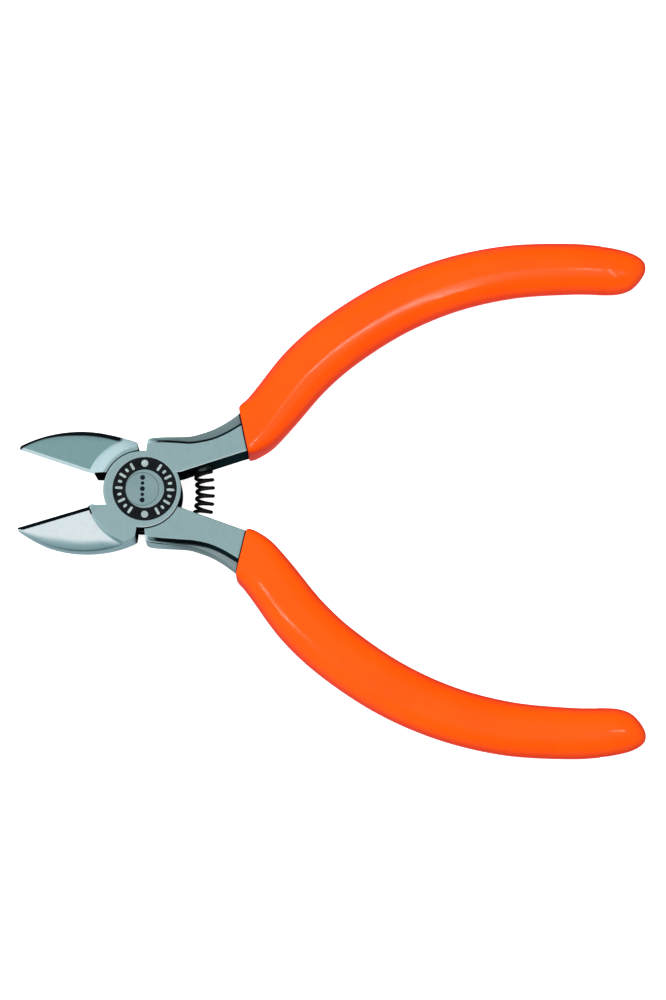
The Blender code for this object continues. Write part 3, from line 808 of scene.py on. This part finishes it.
# outer (x, y), inner (x, y), share of the width that the pad takes
TANG_RIBS = [
    ((9.00 * STOP_X, 9.00 * STOP_Y), (4.0 * STOP_X, 4.0 * STOP_Y), 0.900),
    ((1.50, 9.30), (1.00, 3.90), 0.900),
    ((3.50, 9.55), (3.10, 3.70), 0.880),
    ((6.00, 9.72), (6.00, 3.05), 0.855),
    ((8.30, 9.88), (8.20, wall_y(8.20)), 0.800),
    ((10.40, 10.47), (10.60, wall_y(10.6)), 0.745),
    ((12.35, 11.22), (13.00, wall_y(13.0)), 0.710),
    ((14.25, 12.28), (15.30, wall_y(15.3)), 0.700),
    ((15.85, 13.40), (17.10, wall_y(17.1)), 0.700),
    ((17.20, 14.50), (18.90, wall_y(18.9)), 0.700),
    ((18.50, 15.60), (20.60, wall_y(20.6) + 0.25), 0.700),
]


def placed(outer, inner, half):
    """Closed section from a half outline of (distance from inner, height over MID)."""
    along = (outer - inner).normalized()
    points = []
    for reach, z in half + [(reach, -z) for reach, z in half[:0:-1]]:
        spot = inner + along * reach
        points.append((spot.x, spot.y, MID + z))
    return points


def tang_section(outer, inner, share, shift):
    width = (outer - inner).length
    pad = min(width * share + shift - 0.10, width - STEP_W - 0.35)
    top = MID + TANG_RISE
    foot = max(pad + STEP_W + 0.12, width - 0.60)
    face = [
        (0.0, 0.0), (0.0, top - 0.14), (0.04, top - 0.04), (0.14, top), (0.20, top),
        (pad * 0.5, top), (pad, top),
    ]
    shoulder = [
        (pad + 0.08, top - 0.16),
        (pad + STEP_W - 0.10, top - STEP_H + 0.34),
        (pad + STEP_W - 0.03, top - STEP_H + 0.12),
        (pad + STEP_W + 0.08, top - STEP_H - 0.01),
        (foot, FLANGE_H - 0.10),
        (width - 0.34, FLANGE_H - 0.17),
        (width - 0.13, FLANGE_H - 0.31),
        (width - 0.03, FLANGE_H - 0.58),
    ]
    # the shoulder starts shallow beside the boss and deepens along the tang
    depth = min(1.0, 0.42 + 0.11 * max(0.0, outer[0] - 1.0))
    shoulder = [(reach, top - depth * (top - z)) for reach, z in shoulder]
    return placed(outer, inner, face + shoulder + [(width, 1.2)])


def core_section(outer, inner, height, grow=0.0, corner=1.1):
    """Section of the core inside a grip, with as many points as tang_section."""
    along = (outer - inner).normalized()
    width = (outer - inner).length + 2 * grow
    inner = inner - along * grow
    outer = outer + along * grow
    top = height + grow
    half = [
        (0.0, 0.0),
        (0.0, top - corner),
        (0.12 * corner, top - 0.5 * corner),
        (0.32 * corner, top - 0.3 * corner),
        (0.6 * corner, top - 0.1 * corner),
        (corner, top),
        (width * 0.35, top),
        (width * 0.5, top),
        (width * 0.65, top),
        (width - 1.2 * corner, top),
        (width - corner, top),
        (width - 0.6 * corner, top - 0.1 * corner),
        (width - 0.32 * corner, top - 0.3 * corner),
        (width - 0.12 * corner, top - 0.6 * corner),
        (width - 0.02 * corner, top - 1.1 * corner),
        (width, top - 1.5 * corner),
    ]
    return placed(outer, inner, half)


def core_rib(pos):
    outer, inner = rib_at(GRIP_RIBS, pos)
    along = (outer - inner).normalized()
    return outer - along * DIP_WALL, inner + along * DIP_WALL


def core_rings(grow):
    """The core on the +Y side; a grown one opens wider at its first ring."""
    rings = []
    count = 24
    for k in range(count + 1):
        outer, inner = core_rib(CORE_FROM + (LAST_RIB - CORE_FROM) * k / count)
        extra = 0.3 if grow and k == 0 else 0.0
        rings.append(core_section(outer, inner, CORE_H, grow + extra))
    outer, inner = core_rib(LAST_RIB)
    middle, half = (outer + inner) / 2, (outer - inner) / 2
    for share in (0.5, 0.8):  # rounded end
        push = Vector((3.2 * share, 0))
        shrink = math.sqrt(1 - (share * 0.9) ** 2)
        rings.append(
            core_section(
                middle + half * shrink + push,
                middle - half * shrink + push,
                CORE_H * (0.6 + 0.4 * shrink),
                grow,
            )
        )
    return rings


def tang(name, side, shift):
    rings = []
    shares = [rib[2] for rib in TANG_RIBS]
    stations = 56
    for k in range(stations + 1):
        pos = (len(TANG_RIBS) - 1) * k / stations
        outer, inner = rib_at(TANG_RIBS, pos)
        fade = 1 - 0.5 * k / stations
        rings.append(tang_section(outer, inner, number_at(shares, pos), shift * fade))
    rings += core_rings(0.0)
    return ring_loft(name, on_side(rings, side), STEEL_MAT)


# ================================================================ spring
def arc_point(degrees):
    a = math.radians(degrees)
    return Vector((ARC_X + SPRING_ARC_R * math.cos(a), SPRING_ARC_R * math.sin(a), MID))


def pocket_line(side):
    """Mouth of the spring pocket and the direction into it."""
    depth_angle = math.degrees(POCKET_DEPTH / SPRING_ARC_R)
    mouth = arc_point(side * WALL_HALF)
    floor = arc_point(side * (WALL_HALF + depth_angle))
    return mouth, (floor - mouth).normalized()


def spring_coil(name):
    """Round wire at an even pitch, so that the coils never reach each other."""
    shape = bmesh.new()
    per_turn, sides = 40, 14
    mean_r = (SPRING_OD - WIRE) / 2
    count = int(SPRING_TURNS * per_turn)

    def centre(k):
        angle = -SPRING_HALF + 2 * SPRING_HALF * k / count
        base = arc_point(angle)
        turn = math.radians(angle)
        out = Vector((math.cos(turn), math.sin(turn), 0))
        phase = 2 * math.pi * SPRING_TURNS * k / count
        return base + mean_r * (out * math.cos(phase) - Vector((0, 0, 1)) * math.sin(phase))

    points = [centre(k) for k in range(count + 1)]
    loops = []
    for k, point in enumerate(points):
        ahead = points[min(k + 1, count)] - points[max(k - 1, 0)]
        ahead.normalize()
        radial = point - Vector((ARC_X, 0, MID))
        flat = ahead.cross(radial).normalized()
        rise = flat.cross(ahead).normalized()
        angles = [2 * math.pi * i / sides for i in range(sides)]
        loops.append(add_loop(shape, [
            point + WIRE / 2 * (flat * math.cos(a) + rise * math.sin(a)) for a in angles
        ]))
    bridge(shape, loops)
    ends = (
        (loops[0], points[0], points[1] - points[0], -0.06),
        (loops[-1], points[-1], points[-1] - points[-2], 0.06),
    )
    for loop, point, ahead, push in ends:  # a small chamfer
        rim = add_loop(shape, [
            point + (v.co - point) * 0.8 + ahead.normalized() * push for v in loop
        ])
        bridge(shape, [loop, rim])
        shape.faces.new(rim)
    return mesh_object(name, shape, WIRE_MAT, 60)


# ================================================================ grips
def grip_section(outer, inner, half_height, power, sides=72):
    """Superellipse between the outer and inner points."""
    middle = (outer + inner) / 2
    half = (outer - inner) / 2
    ring = []
    for i in range(sides):
        a = 2 * math.pi * i / sides
        cosine, sine = math.cos(a), math.sin(a)
        across = math.copysign(abs(cosine) ** (2 / power), cosine)
        rise = math.copysign(abs(sine) ** (2 / power), sine)
        spot = middle + half * across
        ring.append((spot.x, spot.y, MID + half_height * rise))
    return ring


def grip(name, side):
    rings = []
    lip = 0.3  # rib position where the collar's rounded lip ends
    stations = [0, 0.02, 0.05, 0.09, 0.14, 0.2, 0.28, 0.38, 0.5, 0.65, 0.8]
    stations += [1 + 0.18 * k for k in range(12)]
    stations += [3.2 + (LAST_RIB - 0.2 - 3.2) * k / 68 for k in range(69)]
    for pos in stations:
        outer, inner = rib_at(GRIP_RIBS, pos)
        height = number_at(GRIP_H, pos)
        if pos < lip:
            share = 1 - pos / lip
            tuck = 0.26 * (1 - math.sqrt(max(0.0, 1 - (share * 0.97) ** 2)))
            along = (outer - inner).normalized()
            outer, inner, height = outer - along * tuck, inner + along * tuck, height - tuck
        rings.append(grip_section(outer, inner, height, number_at(GRIP_SQUARE, pos)))
    for k in range(33):
        pos = (len(END_RIBS) - 1) * k / 32
        x, outer_y, inner_y, tall = (number_at(column, pos) for column in zip(*END_RIBS))
        outer, inner = Vector((x, outer_y)), Vector((x, inner_y))
        rings.append(grip_section(outer, inner, GRIP_H[-1] * tall, GRIP_SQUARE[-1]))
    return ring_loft(name, on_side(rings, side), GRIP_MAT, 60)


def grip_cavity(name, side):
    rings = []
    for pos in (6.6, 7.4, 8.2, 9.0, 10.0):
        outer, inner = rib_at(TANG_RIBS, pos)
        rings.append(core_section(outer, inner, MID + TANG_RISE, GRIP_GAP, corner=0.08))
    rings += core_rings(GRIP_GAP)
    return ring_loft(name, on_side(rings, side), GRIP_MAT)


# ================================================================ levers
def boss_profile(front):
    if front:
        low, high, inwards = MID - LAP_OVERRUN, THICKNESS, -1
    else:
        low, high, inwards = MID + LAP_OVERRUN, 0.0, 1
    profile = [
        (BOSS_R, low),
        (BOSS_R, high + inwards * BOSS_CORNER),
        (BOSS_R - BOSS_CORNER_MID, high + inwards * BOSS_CORNER_MID),
        (BOSS_R - BOSS_CORNER, high),
    ]
    return profile if front else profile[::-1]


def recess_profile(front):
    """The room that the other lever's boss turns in."""
    if front:
        return [(RECESS_R, -2.0), (RECESS_R, MID + LAP_GAP)]
    return [
        (RECESS_R, MID - LAP_GAP),
        (RECESS_R, THICKNESS - 0.1),
        (RECESS_R + RECESS_FLARE, THICKNESS + 0.02),
        (RECESS_R + RECESS_FLARE, THICKNESS + 2.0),
    ]


def ring_groove(name, look):
    low, past = THICKNESS - RING_DEPTH, THICKNESS + 1.0
    profile = [
        (RING_IN_R, low),
        (RING_R, low),
        (RING_R, THICKNESS - 0.02),
        (RING_R + 0.06, THICKNESS + 0.02),
        (RING_R + 0.06, past),
        (RING_IN_R, past),
    ]
    return hoop(name, profile, look)


def lever(name, front, look):
    jaw_side, tang_side = (-1, 1) if front else (1, -1)
    body = turned(name, boss_profile(front), look)

    def cut(part, profile, **place):
        combine(body, turned(f"{name}_{part}", profile, look, **place), "DIFFERENCE")

    root = ROOT_FRONT_LEVER if front else ROOT_REAR_LEVER
    combine(body, jaw(f"{name}_jaw", jaw_side, root), "UNION")
    shift = -PAD_SHIFT if front else PAD_SHIFT
    combine(body, tang(f"{name}_tang", tang_side, shift), "UNION")
    cut("recess", recess_profile(front))

    fit = RIVET_RUN if front else RIVET_FIT
    bore_r, seat_r = RIVET_SHANK_R + fit, RIVET_HEAD_R + fit
    cut("bore", [(bore_r, -1.0), (bore_r, THICKNESS + 1.0)])
    if front:
        seat = (THICKNESS - RIVET_HEAD_H - SEAT_GAP, THICKNESS + 1.0)
    else:
        seat = (-1.0, RIVET_HEAD_H + SEAT_GAP)
    cut("head_seat", [(seat_r, z) for z in seat])
    if front:
        combine(body, ring_groove(f"{name}_groove", look), "DIFFERENCE")

    mouth, into = pocket_line(tang_side)
    floor = mouth + into * POCKET_DEPTH
    pocket = [(POCKET_R, 0.0), (POCKET_R, POCKET_DEPTH + POCKET_OVERRUN)]
    cut("pocket", pocket, foot=floor, tip=mouth - into * POCKET_OVERRUN, steps=72)
    peg_hole = [(PEG_R + PEG_FIT, 0.0), (PEG_R + PEG_FIT, PEG_SUNK + 1.0)]
    cut("peg_hole", peg_hole, foot=floor + into * (PEG_SUNK + 0.03), tip=floor, steps=40)
    set_look(body, look)
    tidy(body)
    return body


front_lever = lever("front_lever_forging", True, STEEL_MAT)
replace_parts(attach(front_lever, FRONT), "front_lever")

rear_lever = lever("rear_lever_forging", False, REAR_STEEL_MAT)
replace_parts(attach(rear_lever, REAR), "rear_lever")

# ================================================================ rivet
rivet = turned(
    "pivot_rivet_body",
    [
        (RIVET_HEAD_R - 0.3, 0.0),
        (RIVET_HEAD_R - 0.1, 0.03),
        (RIVET_HEAD_R - 0.02, 0.1),
        (RIVET_HEAD_R, 0.2),
        (RIVET_HEAD_R, RIVET_HEAD_H),
        (RIVET_SHANK_R, RIVET_HEAD_H),
        (RIVET_SHANK_R, THICKNESS - RIVET_HEAD_H),
        (RIVET_HEAD_R, THICKNESS - RIVET_HEAD_H),
        (RIVET_HEAD_R, THICKNESS - 0.01),
        (RIVET_HEAD_R - 0.01, THICKNESS),
    ],
    RIVET_MAT,
)
tidy(rivet)
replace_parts(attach(rivet, REAR), "pivot_rivet")


# ================================================================ marks
def tick(angle, inner_r, outer_r, width):
    """Radial mark with rounded ends."""
    a = math.radians(angle)
    along, across = Vector((math.cos(a), math.sin(a))), Vector((-math.sin(a), math.cos(a)))
    end_r = width / 2
    points = []
    for centre, turn in ((outer_r - end_r, -90), (inner_r + end_r, 90)):
        for k in range(7):
            b = math.radians(turn + 30 * k)
            spot = along * (centre + end_r * math.cos(b)) + across * (end_r * math.sin(b))
            points.append((spot.x, spot.y))
    return points


def ring_outlines():
    """Long and short ticks in two fans, with a dot between them at each end."""
    pitch, dot_at, dot_r = 14.6, 4.53, 0.62
    outlines = []
    for k in range(9):
        inner_r, outer_r = (3.85, 5.22) if k % 2 == 0 else (4.15, 4.92)
        for start in (120, -60):
            outlines.append(tick(start + pitch * k, inner_r, outer_r, width=0.46))
    for angle in (91, -89):
        a = math.radians(angle)
        outlines.append(circle(dot_r, 20, (dot_at * math.cos(a), dot_at * math.sin(a))))
    return [[(x + RING_C[0], y + RING_C[1]) for x, y in outline] for outline in outlines]


# black fill of the etched ring, with ticks and dots left bright in it
SIDE_GAP = 0.012
fill_low, fill_top = THICKNESS - RING_DEPTH + 0.006, THICKNESS - 0.045
fill_profile = [
    (RING_IN_R + SIDE_GAP, fill_low),
    (RING_R - SIDE_GAP, fill_low),
    (RING_R - SIDE_GAP, fill_top),
    (RING_IN_R + SIDE_GAP, fill_top),
]
ring_fill = hoop("joint_ring_fill", fill_profile, ENAMEL_MAT)
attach(ring_fill, FRONT)

ring_marks = plates(
    "joint_ring_ticks", ring_outlines(), fill_low + 0.02, THICKNESS - 0.03, MARK_MAT
)
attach(ring_marks, FRONT)

# row of plain punched dots on the rivet's head
dots = [circle(0.32 if k % 2 else 0.44, 20, (0.05, k + 0.05)) for k in range(-2, 3)]
rivet_dots = plates(
    "rivet_punch_dots", dots, THICKNESS - 0.06, THICKNESS + 0.004, DARK_MARK_MAT
)
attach(rivet_dots, REAR)

# ================================================================ spring, grips and pegs
coil = spring_coil("return_spring_coil")
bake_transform(coil)
coords = np.empty(len(coil.data.vertices) * 3, np.float32)
coil.data.vertices.foreach_get("co", coords)
coords = coords.reshape(-1, 3) / MM
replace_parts(coil, "return_spring")

for grip_name, grip_side, grip_body in (("upper_grip", 1, FRONT), ("lower_grip", -1, REAR)):
    sleeve = grip(f"{grip_name}_sleeve", grip_side)
    combine(sleeve, grip_cavity(f"{grip_name}_cavity", grip_side), "DIFFERENCE")
    set_look(sleeve, GRIP_MAT)
    tidy(sleeve, 50)
    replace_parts(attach(sleeve, grip_body), grip_name)

for peg_name in ("upper_spring_peg", "lower_spring_peg"):
    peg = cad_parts[peg_name]
    set_look(peg, PEG_MAT)

# ================================================================ stage
scene = bpy.context.scene
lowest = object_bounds()[0].z
FLOOR_HALF = 3.0  # metres
FLAG_RISE = 0.0001  # metres over the floor
# outline of the flag card
FLAG = [
    (-1.4, 8.7), (-6.0, 6.4), (-8.4, 3.6), (-12.5, 4.3), (-12.5, -4.3), (-8.4, -3.6),
    (-6.0, -6.4), (-1.2, -7.6), (-0.9, -9.4), (0.9, -9.4), (1.2, -8.0), (6.5, -4.2),
    (17.5, -7.2), (19.0, 0.0), (17.0, 6.8), (6.5, 4.2), (1.2, 8.7),
]


def card(name, outline, unit, z, look):
    """One flat face; the outline is in units of the given length."""
    shape = bmesh.new()
    shape.faces.new(add_loop(shape, [(x * unit, y * unit, z) for x, y in outline]))
    mesh = bpy.data.meshes.new(name)
    shape.to_mesh(mesh)
    shape.free()
    mesh.materials.append(look)
    made = bpy.data.objects.new(name, mesh)
    scene.collection.objects.link(made)
    return made


def floor_material(name):
    made, net, shader = new_material(name)
    paper = net.noise(net.position(), scale=40.0)
    net.fill(shader, {
        "Base Color": net.mix(paper, (0.86, 0.86, 0.86, 1), (0.88, 0.88, 0.88, 1)),
        "Roughness": 0.9,
        "Specular IOR Level": 0.0,
        "Emission Color": (1, 1, 1, 1),
        "Emission Strength": 0.74,
    })
    return made


def flag_material(name):
    made, net, shader = new_material(name, "Emission")
    net.fill(shader, {"Color": (0.008, 0.012, 0.014, 1)})
    return made


square = ((-1, -1), (1, -1), (1, 1), (-1, 1))
floor = card("floor", square, FLOOR_HALF, lowest, floor_material("pale_floor"))
floor.visible_glossy = False

# black flag card under the joint: only reflections see it, so it darkens the inner walls
flag_card = card("flag_card", FLAG, MM, lowest + FLAG_RISE, flag_material("flag_black"))
for seen in ("visible_camera", "visible_diffuse", "visible_shadow", "visible_transmission"):
    setattr(flag_card, seen, False)

# ================================================================ world
# lean in degrees (0 overhead, negative towards -Y), colour
SKY_STOPS = [
    (-180, (0.38, 0.51, 0.55)),
    (-158, (0.35, 0.47, 0.51)),
    (-142, (0.08, 0.12, 0.135)),
    (-112, (0.08, 0.12, 0.135)),
    (-92, (0.21, 0.30, 0.32)),
    (-74, (0.22, 0.33, 0.35)),
    (-55, (0.31, 0.43, 0.46)),
    (-40, (0.29, 0.45, 0.48)),
    (-30, (0.72, 0.77, 0.80)),
    (-19, (1.80, 1.52, 1.54)),
    (-9, (1.42, 1.25, 1.27)),
    (1, (0.39, 0.50, 0.51)),
    (12, (0.293, 0.428, 0.438)),
    (38, (0.31, 0.47, 0.48)),
    (60, (0.26, 0.40, 0.41)),
    (70, (0.13, 0.20, 0.21)),
    (80, (0.02, 0.03, 0.034)),
    (150, (0.012, 0.018, 0.021)),
    (180, (0.38, 0.51, 0.55)),
]
LEFT_GLOW = (0.98, 1.07, 1.12, 1)
SIDE_DIM, SIDE_BRIGHT = (0.62, 0.75, 0.79, 1), (0.94, 1.02, 1.07, 1)


def sky_colour(net):
    """Bands by lean, a bright patch towards -X and one low towards +Y."""
    x, y, z = net.split(net.add("TexCoord").outputs["Generated"])
    lean = net.math("ARCTAN2", y, z)
    turn = net.plus(net.math("DIVIDE", lean, 2 * math.pi), 0.5)
    ramp = net.add("ValToRGB", {0: turn})
    elements = ramp.color_ramp.elements
    for i, (angle, colour) in enumerate(SKY_STOPS):
        spot = (angle + 180) / 360
        stop = elements[i] if i < 2 else elements.new(spot)  # a ramp starts with two
        stop.position = spot
        stop.color = (*colour, 1)

    flat = net.length(x, y)

    def heading(axis):
        return net.math("DIVIDE", axis, net.greater(flat, 0.001))

    left = net.span(heading(x), off=-0.36, on=-0.52)
    high = net.times(net.span(z, off=-0.9, on=-0.6), net.span(z, off=0.955, on=0.86))
    sky = net.mix(net.times(left, high), ramp.outputs[0], LEFT_GLOW)
    side = net.span(heading(y), off=0.45, on=0.75)
    side = net.times(side, net.span(z, off=0.58, on=0.26))
    side = net.times(side, net.span(z, off=-0.75, on=-0.55))
    along_x = heading(x)
    side = net.times(side, net.span(along_x, off=0.10, on=-0.10))
    glow = net.mix(net.span(along_x, off=-0.22, on=-0.44), SIDE_DIM, SIDE_BRIGHT)
    sky = net.mix(side, sky, glow)
    seen = net.add("LightPath").outputs["Is Camera Ray"]
    return net.mix(seen, sky, (1, 1, 1, 1))


world = bpy.data.worlds.new("studio")
scene.world = world
world.use_nodes = True
world_net = Nodes(world.node_tree)
background = world_net.add("Background", {"Color": sky_colour(world_net), "Strength": 1.0})
world_net.add("OutputWorld", {"Surface": background.outputs[0]})


# ================================================================ lights
def area_light(name, place, size, power, colour):
    lamp = bpy.data.lights.new(name, "AREA")
    lamp.shape = "RECTANGLE"
    lamp.size, lamp.size_y = size
    lamp.energy = power
    lamp.color = colour
    made = bpy.data.objects.new(name, lamp)
    made.location = place
    scene.collection.objects.link(made)
    made.visible_camera = False
    return made


# soft lights without reflections: name, place, size, power, colour
AIM = Vector((0.034, 0.0, 0.004))
for name, place, size, power, colour in (
    ("soft_key", (-0.08, 0.30, 0.75), (0.55, 0.55), 4.2, (1, 0.99, 0.97)),
    ("soft_top", (0.10, -0.20, 0.80), (0.7, 0.5), 1.7, (1, 1, 1)),
):
    light = area_light(name, place, size, power, colour)
    light.rotation_mode = "QUATERNION"
    light.rotation_quaternion = (AIM - Vector(place)).to_track_quat("-Z", "Y")
    light.visible_glossy = False

grip_rooms = {}
for which in ("upper", "lower"):
    grip_rooms[which] = bpy.data.collections.new(f"{which}_grip_only")
    grip_rooms[which].objects.link(bpy.data.objects[f"{which}_grip_sleeve"])

# strips that only show as reflections on one grip: name, grip, two ends, width, power
STRIP_Z = 0.616
for name, which, ends, width, power in (
    ("streak_upper", "upper", ((0.148, 0.055), (0.262, -0.320)), 0.017, 1.9),
    ("streak_lower", "lower", ((-0.200, -0.155), (-0.400, -0.270)), 0.038, 1.1),
    ("spot_upper", "upper", ((0.390, -0.037), (0.460, -0.037)), 0.040, 0.7),
    ("end_lower", "lower", ((0.190, -0.018), (0.560, -0.012)), 0.030, 2.2),
):
    (from_x, from_y), (to_x, to_y) = ends
    run_x, run_y = to_x - from_x, to_y - from_y
    middle = ((from_x + to_x) / 2, (from_y + to_y) / 2, STRIP_Z)
    light = area_light(name, middle, (math.hypot(run_x, run_y), width), power, (1.0, 0.97, 0.93))
    light.rotation_euler = (0, 0, math.atan2(run_y, run_x))
    light.visible_diffuse = False
    light.light_linking.receiver_collection = grip_rooms[which]

# ================================================================ camera
CAMERA_AWAY = 0.6185  # metres from the target
target = Vector((0.0335, -0.00078, MID * MM))
tilt, roll = math.radians(9.5), math.radians(0.8)

camera = bpy.data.cameras.new("camera")
camera.sensor_width = 36
camera.sensor_fit = "AUTO"
camera.lens = 126.1
camera.clip_start, camera.clip_end = 0.05, 20
eye = bpy.data.objects.new("camera", camera)
scene.collection.objects.link(eye)
backward = Vector(
    (math.sin(tilt) * math.sin(roll), -math.sin(tilt) * math.cos(roll), math.cos(tilt))
)
right = Vector((math.cos(roll), math.sin(roll), 0))
axes = Matrix((right, backward.cross(right), backward)).transposed()
eye.matrix_world = Matrix.Translation(target + backward * CAMERA_AWAY) @ axes.to_4x4()
scene.camera = eye

scene.view_settings.view_transform = "Standard"
scene.view_settings.look = "None"
